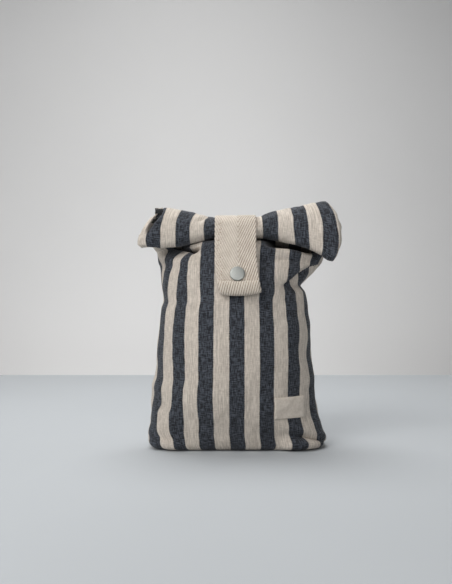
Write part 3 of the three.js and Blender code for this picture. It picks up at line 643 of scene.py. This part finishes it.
def panel_grid(panel):
    """Both faces of a panel from bottom seam to mouth, its places in the flat cloth, and the painted shade
    of its closed folds.
    """
    u = CLOTH_COLUMNS
    facing = panel["facing"]
    keys = key_rows(panel, u)
    at = fine_rows(panel, keys)
    middle = spline(keys, at)
    wide = np.broadcast_to(u, middle.shape[:2])
    roll_key = NECK_KEY + len(panel["neck"])
    on_roll = np.broadcast_to((at >= roll_key)[:, None], wide.shape)
    turn = np.mod(ROLL_START + (at - roll_key) * 360 / ROLL_STEPS, 360)
    turn = np.broadcast_to(turn[:, None], wide.shape)
    relief = body_relief(panel, at, wide, middle[:, :, 2]) + roll_relief(panel, wide, turn) * on_roll
    middle = middle + normals_of(middle, facing) * relief[:, :, None]
    ragged = ripple(RAGGED_END, turn * MM_A_DEGREE, np.zeros(turn.shape))
    middle[:, :, 0] += ragged * smooth(*RAGGED_FROM, wide) * on_roll
    normal = normals_of(middle, facing)
    normal[0] = (0, 0, -1)
    seam = SEAM["draw"] * bell(HALF_WIDTH - np.abs(wide), SEAM["wide"])
    tight = FOLDED_UNDER["tight"] * smooth(*FOLDED_UNDER["across"], -wide) * on_roll
    outer = middle + normal * (OUTER_FACE - tight - seam)[:, :, None]
    inner = outer - normal * THICK
    # Painted shade: how much the cloth's colour is darkened here for lying deep in a closed fold
    shade = painted_fold_shade(panel, at, wide, turn, on_roll, outer[:, :, 1])
    steps = norm(np.diff(outer, axis=0), axis=2).mean(1)
    along = np.concatenate([[0], np.cumsum(steps)])
    share = np.linspace(0, 1, BOTTOM_ROWS + 1)[:-1]
    seam_y = SECTIONS["seam"][0] + facing * SEAM_CLEARANCE
    bottom = np.repeat(outer[:1], BOTTOM_ROWS, 0)
    bottom[:, :, 1] = seam_y + share[:, None] * (outer[0, :, 1] - seam_y)
    bottom_deep = np.abs(outer[0, :, 1] - SECTIONS["seam"][0]).max()
    outer = np.concatenate([bottom, outer])
    inner = np.concatenate([bottom + (0, 0, THICK), inner])
    flat = np.stack(np.meshgrid(u, np.concatenate([(share - 1) * bottom_deep, along])), 2)
    return outer, inner, flat, np.concatenate([np.zeros((BOTTOM_ROWS, len(u))), shade])


def strap_line(side):
    """Rows of places on the strap's inner face, from its sewn end on the back to its foot at the front."""
    x = side + STRAP_LEAN["topX"]
    sewn = np.interp(STRAP["backEnd"], BODY_HEIGHTS, np.arange(len(BODY_HEIGHTS)))
    leaves = NECK_KEY + len(BACK_NECK) + (STRAP["leaveAngle"] - ROLL_START) / 360 * ROLL_STEPS
    on_bag = spline(key_rows(BACK, x), np.linspace(sewn, leaves, STRAP_KEYS))
    on_bag = on_bag + normals_of(on_bag, 1) * (OUTER_FACE + STRAP["lift"])
    on_bag[:, :, 0] = x
    middle = spline(key_rows(FRONT, np.array([-1.0, 0, 1])), np.linspace(0, NECK_KEY + 1, SECTION_SAMPLES))
    face = (middle + normals_of(middle, -1) * OUTER_FACE)[:, 1]
    free = []
    heights = STRAP_FREE["z"]
    for z, out in zip(heights, STRAP_FREE["out"]):
        lean = ((heights[0] - z) / np.ptp(heights)) ** 2
        across = x + lean * (STRAP_LEAN["footX"] - STRAP_LEAN["topX"])
        y = np.interp(z, face[:, 2], face[:, 1]) - out
        dip = HEM["dip"] * lean**4 * (1 - (2 * side / STRAP["width"]) ** 2)
        free.append(np.stack([across, np.full_like(x, y), z + STRAP_LEAN["skew"] * side * lean - dip], 1))
    return np.concatenate([on_bag, np.array(free)])


def strap_relief(side, s, to_end):
    """Heights of the strap's outer and inner faces over its own surface, and how far its edges lie out."""
    long = HEM["long"]
    off_tube = np.clip(np.abs(to_end - long / 2) / (long / 2), 0, 1)
    on_hem = smooth(long + HEM_RIBS[0], long + HEM_RIBS[1], to_end)
    tube = np.sqrt(1 - off_tube ** HEM["round"]) * smooth(long + HEM_STEP, long - HEM_STEP, to_end)
    stitch = HEM_STITCH["deep"] * bell(to_end - long, HEM_STITCH["wide"])
    off_vee = side - VEE["at"]
    reach = np.where(to_end < long, side, np.abs(off_vee))
    wave = np.abs(np.sin(np.pi * (reach + RIB_SLANT * s) / RIB_PITCH))
    edge = STRAP["width"] / 2 - np.abs(side)
    clear = FAINT_RIBS + (1 - FAINT_RIBS) * smooth(-VEE["relief"], VEE["relief"], off_vee)
    selvedge = np.where(side < 0, smooth(SELVEDGE["plain"], SELVEDGE["ribbed"], edge), 1)
    ribs = RIB["high"] * np.maximum(clear, on_hem) * selvedge * (wave ** RIB["round"] - RIB["sunk"])
    rounded = np.sqrt(1 - (1 - np.clip(edge / HEM["endRound"], 0, 1)) ** 2)
    dropped = EDGE["drop"] * bell(edge, EDGE["wide"])
    outside = STRAP["thick"] + ribs + HEM["bulge"] * tube * rounded - stitch - dropped
    inside = -HEM["under"] * tube * rounded
    serrated = SERRATION["out"] * wave * bell(edge, SERRATION["wide"]) * np.sign(side)
    to_corner = 1 - np.clip(to_end / HEM["corner"], 0, 1)
    corner = HEM["corner"] * (np.sqrt(1 - to_corner**2) - 1) * np.sign(side)
    return outside, inside, serrated + corner * (2 * side / STRAP["width"]) ** 4


def strap_grid():
    """Both faces of the strap with its flat places, and the places and normals of its own surface."""
    side = np.linspace(-0.5, 0.5, STRAP_COLUMNS + 1) * STRAP["width"]
    line = strap_line(side)
    samples = np.linspace(0, len(line) - 1, STRAP_SAMPLES)
    length = distances(spline(line, samples)[:, STRAP_COLUMNS // 2])
    s = np.linspace(0, length[-1], round(length[-1] / STRAP_STEP) + 1)
    grid = spline(line, np.interp(s, length, samples))
    normal = normals_of(grid, 1)
    to_end = (length[-1] - s)[:, None]
    outside, inside, sideways = strap_relief(side[None], s[:, None], to_end)
    half = STRAP["thick"] / 2 + NOSE["over"]
    nose = np.sqrt(np.clip(1 - np.clip((half - to_end) / half, 0, 1) ** 2, NOSE["least"], 1))
    centre = (outside + inside) / 2
    heights = [centre + (face - centre) * nose for face in (outside, inside)]
    outer, inner = (grid + normal * height[:, :, None] for height in heights)
    outer[:, :, 0] += sideways
    inner[:, :, 0] += sideways
    return outer, inner, np.stack(np.meshgrid(side, s), 2), grid, normal


def on_cloth(outer, flat, u, v):
    """Places and normals on a panel's outer face at places in its flat cloth."""
    normal = normals_of(outer, -1)
    column = np.interp(u, CLOTH_COLUMNS, np.arange(len(CLOTH_COLUMNS)))
    row = np.interp(v, flat[:, 0, 1], np.arange(len(flat)))
    c, r = np.floor(column).astype(int), np.floor(row).astype(int)
    s, t = (column - c)[..., None], (row - r)[..., None]

    def mix(field):
        low = field[r, c] * (1 - s) + field[r, c + 1] * s
        high = field[r + 1, c] * (1 - s) + field[r + 1, c + 1] * s
        return low * (1 - t) + high * t

    return mix(outer), mix(normal)


def label_grid(outer, flat):
    """Both faces of the label with its flat places, and the normals of the cloth under it."""
    body = slice(BOTTOM_ROWS, BOTTOM_ROWS + len(BODY_HEIGHTS))
    foot = np.interp(LABEL["fromZ"], outer[body, len(CLOTH_COLUMNS) // 2, 2], flat[body, 0, 1])
    across = np.linspace(LABEL["fromU"], LABEL["toU"], LABEL_COLUMNS + 1)
    u, v = np.meshgrid(across, foot + np.linspace(0, LABEL["high"], LABEL_ROWS + 1))
    place, normal = on_cloth(outer, flat, u, v)
    edge = np.minimum(np.minimum(u - u.min(), u.max() - u), np.minimum(v - v.min(), v.max() - v))
    puff = LABEL_PUFF["high"] * smooth(*LABEL_PUFF["edge"], edge) + ripple(LABEL_RIPPLES, u, v)
    rise = LABEL["lift"] + (LABEL["thick"] + puff) * smooth(*LABEL_EDGE, edge)
    top = place + normal * rise[:, :, None]
    low = place + normal * LABEL["lift"]
    return top, low, np.stack([u - u.min(), v - v.min()], 2), normal


def ring_faces(rings, sides, start=0):
    """Faces between rings of points, counted from a start, with a cap at both ends."""
    faces = []
    for ring in range(rings - 1):
        for turn in range(sides):
            a, b = (start + ring * sides + i % sides for i in (turn, turn + 1))
            faces.append((a, b, b + sides, a + sides))
    first = range(start, start + sides)
    return [*faces, tuple(reversed(first)), tuple(i + (rings - 1) * sides for i in first)]


def stitch_row(name, places, normals, thread, material):
    """Short threads along a line of places, each a little rounded bar on the cloth."""
    long, thick = thread
    steps = distances(places)
    count = max(1, int(steps[-1] // (long * STITCH_PITCH)))
    points, faces = [], []
    for k in range(count):
        at = (k + 0.5) / count * steps[-1]
        reach = at + STITCH_RINGS["along"] * long
        middle = np.stack([np.interp(reach, steps, places[:, i]) for i in range(3)], 1)
        out = np.array([np.interp(at, steps, normals[:, i]) for i in range(3)])
        side = np.cross(middle[-1] - middle[0], out)
        side, out = side / norm(side), out / norm(out)
        faces += ring_faces(len(middle), STITCH_SIDES, len(points))
        for place, size, drop in zip(middle, STITCH_RINGS["size"], STITCH_RINGS["drop"]):
            for angle in np.arange(STITCH_SIDES) * 2 * np.pi / STITCH_SIDES:
                up = math.sin(angle) * STITCH_FLAT + STITCH_RISE - drop
                offset = side * math.cos(angle) + out * up
                points.append(place + offset * thick / 2 * size - out * drop * thick)
    return add_object(name, np.array(points), faces, None, material)


def box_line(grid, rows, columns):
    """A closed line round a rectangle of a grid."""
    (top, foot), (left, right) = rows, columns
    return np.concatenate([
        grid[top, left:right], grid[top:foot, right], grid[foot, right:left:-1], grid[foot:top:-1, left],
    ])


def turned_piece(name, profile, place, axis, material, steps=64):
    """A turned piece from radius and height pairs, standing on a place along an axis."""
    across = np.cross(axis, (1, 0, 0))
    across /= norm(across)
    other = np.cross(axis, across)
    turn = np.linspace(0, 2 * np.pi, steps, endpoint=False)
    ring = np.cos(turn)[:, None] * across + np.sin(turn)[:, None] * other
    points = np.concatenate([place + radius * ring + height * axis for radius, height in profile])
    uv = np.concatenate([ring @ np.stack([across, other], 1) * radius for radius, _ in profile])
    return add_object(name, points, ring_faces(len(profile), steps), uv, material)


def new_object(name, data):
    made = bpy.data.objects.new(name, data)
    bpy.context.collection.objects.link(made)
    return made


def add_object(name, points, faces, uv, material):
    mesh = bpy.data.meshes.new(name)
    mesh.from_pydata(((points + SHIFT) * MM).tolist(), [], faces)
    if uv is not None:
        layer = mesh.uv_layers.new(name="cloth")
        corner = np.empty(len(mesh.loops), np.int32)
        mesh.loops.foreach_get("vertex_index", corner)
        layer.data.foreach_set("uv", (uv * MM)[corner].astype(np.float32).ravel())
    mesh.polygons.foreach_set("use_smooth", np.ones(len(mesh.polygons), bool))
    mesh.update()
    mesh.materials.append(material)
    return new_object(name, mesh)


def sheet_object(name, outer, inner, flat, facing, material):
    """A closed thin sheet between two grids of points."""
    rows, columns = outer.shape[:2]
    out = np.arange(rows * columns).reshape(rows, columns)
    inn = out + rows * columns

    def quads(a, b, c, d):
        return np.stack([np.ravel(p) for p in (a, b, c, d)], 1)

    faces = np.concatenate([
        quads(out[:-1, :-1], out[:-1, 1:], out[1:, 1:], out[1:, :-1]),
        quads(inn[:-1, :-1], inn[1:, :-1], inn[1:, 1:], inn[:-1, 1:]),
        quads(inn[:-1, 0], out[:-1, 0], out[1:, 0], inn[1:, 0]),
        quads(out[:-1, -1], inn[:-1, -1], inn[1:, -1], out[1:, -1]),
        quads(out[-1, :-1], out[-1, 1:], inn[-1, 1:], inn[-1, :-1]),
        quads(inn[0, :-1], inn[0, 1:], out[0, 1:], out[0, :-1]),
    ])
    if facing > 0:
        faces = faces[:, ::-1]
    points = np.concatenate([outer.reshape(-1, 3), inner.reshape(-1, 3)])
    uv = np.concatenate([flat.reshape(-1, 2)] * 2)
    return add_object(name, points, faces.tolist(), uv, material)


# Colours, from the darker to the lighter yarns of each
NAVY = ((0.0058, 0.0072, 0.011), (0.068, 0.077, 0.096))
CREAM = ((0.424, 0.37, 0.316), (0.665, 0.6, 0.525))
# Painted shade: the near-black that the cloth's colour is mixed towards deep in its closed folds
PAINTED_FOLD_SHADE_COLOUR = (0.004, 0.004, 0.005)
WEBBING = ((0.575, 0.51, 0.44), (0.65, 0.585, 0.51))
# Painted shade: the colour mixed into the webbing's rib valleys
PAINTED_VALLEY_SHADE_COLOUR = (0.26, 0.2, 0.14)
WEBBING_WORN = (0.33, 0.25, 0.19)
THREAD = ((0.6, 0.55, 0.47), (0.7, 0.65, 0.57))
LABEL_COTTON = ((0.6, 0.53, 0.455), (0.68, 0.61, 0.535))
NICKEL = ((0.315, 0.325, 0.31), (0.405, 0.415, 0.395))
FLOOR_PAPER = (0.5, 0.525, 0.545)
WALL_PAINT = (0.72, 0.715, 0.71)

# Grains of the yarns a metre, across the cloth and along it
WARP = (1350, 130)
WEFT = (170, 1350)
SLUB = (1500, 22)
FINE = (1300, 1300)
WEBBING_YARN = (900, 900)
WEBBING_CLOUD = (120, 120)
WEBBING_SPECKS = (800, 600)
BRUSHING = (250, 4500)

# A stripe's edge in pitches; in metres, the weave's step, how far edges stray and where the strap is worn
STRIPE_EDGE = (0.237, 0.263)
WEAVE_STEP = 0.0007
STRIPE_STRAY = 0.0008
WORN_LINE = -0.016
WORN_WIDTH = (0.0005, 0.006)


class Look:
    """A material made from nodes, with short ways to add them and to link them."""

    def __init__(self, name, roughness, metallic=0.0, sheen=0.0):
        self.material = bpy.data.materials.new(name)
        self.material.use_nodes = True
        self.tree = self.material.node_tree
        self.shader = self.tree.nodes["Principled BSDF"]
        self.set(self.shader, {"Roughness": roughness, "Metallic": metallic, "Sheen Weight": sheen})

    def set(self, node, inputs):
        for key, value in inputs.items():
            if isinstance(value, bpy.types.NodeSocket):
                self.tree.links.new(value, node.inputs[key])
            else:
                node.inputs[key].default_value = value

    def add(self, kind, inputs, **settings):
        node = self.tree.nodes.new("ShaderNode" + kind)
        for name, value in settings.items():
            setattr(node, name, value)
        self.set(node, inputs)
        return node.outputs

    def math(self, operation, *values):
        return self.add("Math", dict(enumerate(values)), operation=operation)[0]

    def noise(self, place, scale, detail):
        return self.add("TexNoise", {"Vector": place, "Scale": scale, "Detail": detail})["Fac"]

    def grain(self, place, grains, detail=2.0, seed=0.0):
        """Noise whose grains are long one way, as yarns are."""
        spread = self.add("Mapping", {0: place, "Scale": (*grains, 1), "Location": (seed, seed, 0)})
        return self.noise(spread[0], 1.0, detail)

    def ramp(self, value, low, high, start=0.0, end=1.0):
        limits = {0: value, 1: low, 2: high, 3: start, 4: end}
        return self.add("MapRange", limits, interpolation_type="SMOOTHSTEP")[0]

    def blend(self, factor, *colours):
        ends = [(*colour, 1) if isinstance(colour, tuple) else colour for colour in colours]
        return self.add("Mix", {0: factor, 6: ends[0], 7: ends[1]}, data_type="RGBA")[2]

    def object_places(self):
        return self.add("TexCoord", {})["Object"]

    def cloth_places(self):
        """Places in the flat cloth: both together, across it and along it."""
        uv = self.add("UVMap", {}, uv_map="cloth")[0]
        return uv, *self.add("SeparateXYZ", {0: uv})[:2]

    def finish(self, colour, relief=None, strength=0.0, distance=0.0):
        """The material with its colour and, where it has one, the relief of its surface."""
        self.set(self.shader, {"Base Color": colour})
        if relief:
            bump = self.add("Bump", {"Height": relief, "Strength": strength, "Distance": distance})
            self.set(self.shader, {"Normal": bump[0]})
        return self.material


def striped_cotton():
    """Plain-woven cotton in cream and navy stripes, with painted shade darkening its closed folds."""
    look = Look("striped_cotton", 0.9, sheen=0.1)
    uv, u, v = look.cloth_places()
    warp = look.grain(uv, WARP, detail=1.0)
    weft = look.grain(uv, WEFT, detail=1.0, seed=3.0)
    slub = look.grain(uv, SLUB, seed=7.0)
    fine = look.grain(uv, FINE, detail=1.0, seed=11.0)
    stray = look.math("MULTIPLY_ADD", fine, STRIPE_STRAY, -STRIPE_STRAY / 2)
    pitches = look.math("DIVIDE", look.math("ADD", u, stray), PITCH * MM)
    share = look.math("FRACT", look.math("ADD", pitches, 100.5))
    off_middle = look.math("ABSOLUTE", look.math("SUBTRACT", share, 0.5))
    dark = look.ramp(off_middle, *STRIPE_EDGE, 1.0, 0.0)
    crossing = look.math("ADD", warp, weft)
    navy = look.blend(look.ramp(crossing, 0.85, 1.22), *NAVY)
    threads = look.math("MULTIPLY_ADD", warp, 0.4, look.math("MULTIPLY", slub, 0.4))
    threads = look.math("MULTIPLY_ADD", weft, 0.2, threads)
    cream = look.blend(look.ramp(threads, 0.38, 0.62), *CREAM)
    # Painted shade: the hollow attribute mixes the cloth's colour towards near-black where its folds close
    hollow = look.add("Attribute", {}, attribute_name="hollow")["Fac"]
    shade = look.math("MULTIPLY", hollow, 0.93)
    colour = look.blend(shade, look.blend(dark, cream, navy), PAINTED_FOLD_SHADE_COLOUR)
    waves = (look.math("SINE", look.math("MULTIPLY", at, 2 * math.pi / WEAVE_STEP)) for at in (u, v))
    weave = look.math("MULTIPLY", *waves)
    return look.finish(colour, look.math("MULTIPLY_ADD", weave, 0.3, crossing), 0.35, 0.0004)


def webbing_cotton(hem_from):
    """Natural cotton tape in a wide herringbone, its turned hem ribbed one way, with painted shade in its
    rib valleys, worn specks on one side.
    """
    look = Look("webbing_cotton", 0.92, sheen=0.12)
    uv, side, along = look.cloth_places()
    on_hem = look.math("GREATER_THAN", along, hem_from)
    on_tape = look.math("SUBTRACT", 1.0, on_hem)
    from_vee = look.math("ABSOLUTE", look.math("SUBTRACT", side, VEE["at"] * MM))
    reach = look.math("MULTIPLY_ADD", from_vee, on_tape, look.math("MULTIPLY", side, on_hem))
    slanted = look.math("MULTIPLY_ADD", along, RIB_SLANT, reach)
    rib = look.math("SINE", look.math("MULTIPLY", slanted, math.pi / (RIB_PITCH * MM)))
    rib = look.math("ABSOLUTE", rib)
    yarn = look.grain(uv, WEBBING_YARN, detail=3.0)
    cloud = look.grain(uv, WEBBING_CLOUD, seed=5.0)
    # Painted shade: the rib valleys are darkened in the colour, more weakly on the left of the vee
    lit = look.math("MULTIPLY_ADD", yarn, 0.35, look.math("SUBTRACT", rib, 0.17))
    painted_valley_shade = look.math("SUBTRACT", 1.0, look.ramp(lit, 0.05, 0.75))
    left, right = ((VEE["at"] + off) * MM for off in (-VEE["colour"], VEE["colour"]))
    bold = look.math("MAXIMUM", look.ramp(side, left, right, FAINT_RIBS, 1.0), on_hem)
    ridge = look.blend(look.ramp(cloud, 0.3, 0.7), *WEBBING)
    tape = look.blend(look.math("MULTIPLY", painted_valley_shade, bold), ridge, PAINTED_VALLEY_SHADE_COLOUR)
    from_line = look.math("ABSOLUTE", look.math("SUBTRACT", side, WORN_LINE))
    worn = look.math("MULTIPLY", look.ramp(from_line, *WORN_WIDTH, 1.0, 0.12), on_tape)
    specks = look.ramp(look.grain(uv, WEBBING_SPECKS, detail=1.0, seed=9.0), 0.52, 0.7)
    colour = look.blend(look.math("MULTIPLY", worn, specks), tape, WEBBING_WORN)
    return look.finish(colour, look.math("MULTIPLY_ADD", rib, 0.6, yarn), 0.5, 0.0004)


def plain_cotton(name, colours):
    """Undyed cotton with a fine uneven weave."""
    look = Look(name, 0.92, sheen=0.1)
    place = look.object_places()
    colour = look.blend(look.ramp(look.noise(place, 420.0, 3.0), 0.3, 0.7), *colours)
    return look.finish(colour, look.noise(place, 1600.0, 1.0), 0.3, 0.0003)


def satin_nickel():
    """Nickel plate, brushed slantwise."""
    look = Look("satin_nickel", 0.34, metallic=1.0)
    place = look.object_places()
    for turn in ((90, 0, 0), (0, 0, 55)):
        rotation = [math.radians(degrees) for degrees in turn]
        place = look.add("Mapping", {0: place, "Rotation": rotation})[0]
    brush = look.grain(place, BRUSHING, detail=3.0)
    look.set(look.shader, {"Roughness": look.ramp(brush, 0.3, 0.7, 0.48, 0.58)})
    return look.finish(look.blend(look.ramp(brush, 0.3, 0.7), *NICKEL), brush, 0.15, 0.0001)


def plain_stage(name, colour, roughness):
    """A plain surface, its colour hardly varied."""
    look = Look(name, roughness)
    cloud = look.ramp(look.noise(look.object_places(), 3.0, 4.0), 0.35, 0.65)
    return look.finish(look.blend(cloud, tuple(0.98 * c for c in colour), colour))


# The two panels
cotton = striped_cotton()
cloths = {}
for name, panel in (("front", FRONT), ("back", BACK)):
    outer, inner, flat, shade = panel_grid(panel)
    cloth = sheet_object(name + "_cloth", outer, inner, flat, panel["facing"], cotton)
    # The hollow attribute holds the painted shade of the closed folds, which darkens the cloth's colour
    # there
    hollow = cloth.data.attributes.new("hollow", "FLOAT", "POINT")
    hollow.data.foreach_set("value", np.tile(shade.ravel(), 2).astype(np.float32))
    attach(cloth, "root")
    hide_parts(name + "_panel")
    cloths[name] = (outer, flat)

# The strap, and its stitches across the hem and in a box on the back
strap_outer, inner, flat, strap_face, strap_normal = strap_grid()
webbing = webbing_cotton((flat[-1, 0, 1] - HEM["long"]) * MM)
strap = sheet_object("strap_webbing", strap_outer, inner, flat, 1, webbing)
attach(strap, "root")
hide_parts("strap")

thread = plain_cotton("thread_cotton", THREAD)
hem = len(flat) - 1 - round(HEM["long"] / STRAP_STEP), INNER
stitches = [stitch_row("hem_stitches", strap_outer[hem], strap_normal[hem], HEM_THREAD, thread)]
box_places, box_normals = (box_line(grid, BOX_ROWS, BOX_COLUMNS) for grid in (strap_outer, strap_normal))
stitches.append(stitch_row("back_stitches", box_places, box_normals, BACK_THREAD, thread))

# The label, and its stitches at both ends
top, low, flat, label_normal = label_grid(*cloths["front"])
label = sheet_object("label_cloth", top, low, flat, -1, plain_cotton("label_cotton", LABEL_COTTON))
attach(label, "root")
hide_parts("label")
for side, column in LABEL_ENDS.items():
    end = INNER, column
    row = stitch_row("label_stitches_" + side, top[end], label_normal[end], LABEL_THREAD, thread)
    stitches.append(row)
for row in stitches:
    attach(row, "root")

# The press stud: its cap, and the metal of the two halves behind it
nickel = satin_nickel()
middle = STRAP_COLUMNS // 2
front_rows = np.arange(len(strap_face)) > len(strap_face) // 2
off_stud = np.where(front_rows, np.abs(strap_face[:, middle, 2] - STUD_Z), np.inf)
stud = int(np.argmin(off_stud)), middle
cap_place = strap_face[stud] + CAP_FOOT * strap_normal[stud]
cap = turned_piece("cap", CAP_PROFILE, cap_place, strap_normal[stud], nickel)
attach(cap, "root")
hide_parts("stud_cap")
for name in ("stud_socket", "stud_post"):
    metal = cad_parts[name].data
    metal.materials.clear()
    metal.materials.append(nickel)

# Stage, in metres: the near and far edge of each plane in y and z, its colour and roughness
STAGE_REACH = 3
STAGE = {
    "floor": ((-3, 0), (0.617, 0), FLOOR_PAPER, 0.8),
    "wall": ((0.95, -1), (0.95, 2.5), WALL_PAINT, 0.9),
}
for name, (near, far, colour, roughness) in STAGE.items():
    mesh = bpy.data.meshes.new(name)
    corners = [(-STAGE_REACH, *near), (STAGE_REACH, *near), (STAGE_REACH, *far), (-STAGE_REACH, *far)]
    mesh.from_pydata(corners, [], [(0, 1, 2, 3)])
    mesh.materials.append(plain_stage("plain_" + name, colour, roughness))
    new_object(name, mesh)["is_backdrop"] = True

# Soft lights: place, aim, size, watts, colour, and spread in degrees
LIGHTS = {
    "key": ((-0.75, -0.95, 1.15), (0, 0, 0.18), 0.9, 10, (1, 0.985, 0.97), 180),
    "fill": ((0.16, -1, 0.6), (0.06, 0, 0.42), 0.6, 0.36, (1, 1, 1), 40),
    "top": ((-0.1, 0.38, 1.4), (0, 0.1, 0.1), 0.8, 5.9, (1, 1, 1), 125),
    "wall_wash": ((-0.8, -0.6, 0.65), (0.3, 0.95, 0), 1.2, 3.5, (1, 1, 1), 180),
    "wall_foot": ((-0.15, 0.5, -0.4), (-0.1, 0.95, 0.25), 1, 3, (1, 1, 1), 180),
}
ROOM_COLOUR = (0.97, 0.985, 1, 1)
ROOM_STRENGTH = 0.2

for name, (place, aim, size, watts, colour, spread) in LIGHTS.items():
    data = bpy.data.lights.new(name, "AREA")
    data.shape = "DISK"
    data.size, data.energy, data.color = size, watts, colour
    data.spread = math.radians(spread)
    light = new_object(name, data)
    light.visible_camera = False
    light.location = place
    light.rotation_euler = (Vector(aim) - Vector(place)).to_track_quat("-Z", "Y").to_euler()
world = bpy.data.worlds.new("soft_room")
world.use_nodes = True
background = world.node_tree.nodes["Background"].inputs
background["Color"].default_value = ROOM_COLOUR
background["Strength"].default_value = ROOM_STRENGTH
bpy.context.scene.world = world
bpy.context.scene.view_settings.view_transform = "Standard"

# The camera looks level, from a place in millimetres in the middle stripe's frame
CAMERA_PLACE = np.array([-10.7, -746, 158])
PHOTO_HIGH = 584
FOCAL_PIXELS = 721
SENSOR = 36
camera = new_object("camera", bpy.data.cameras.new("camera"))
camera.data.sensor_width = SENSOR
camera.data.lens = SENSOR * FOCAL_PIXELS / PHOTO_HIGH
camera.location = (CAMERA_PLACE + SHIFT) * MM
camera.rotation_euler = (math.pi / 2, 0, 0)
bpy.context.scene.camera = camera

low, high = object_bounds()
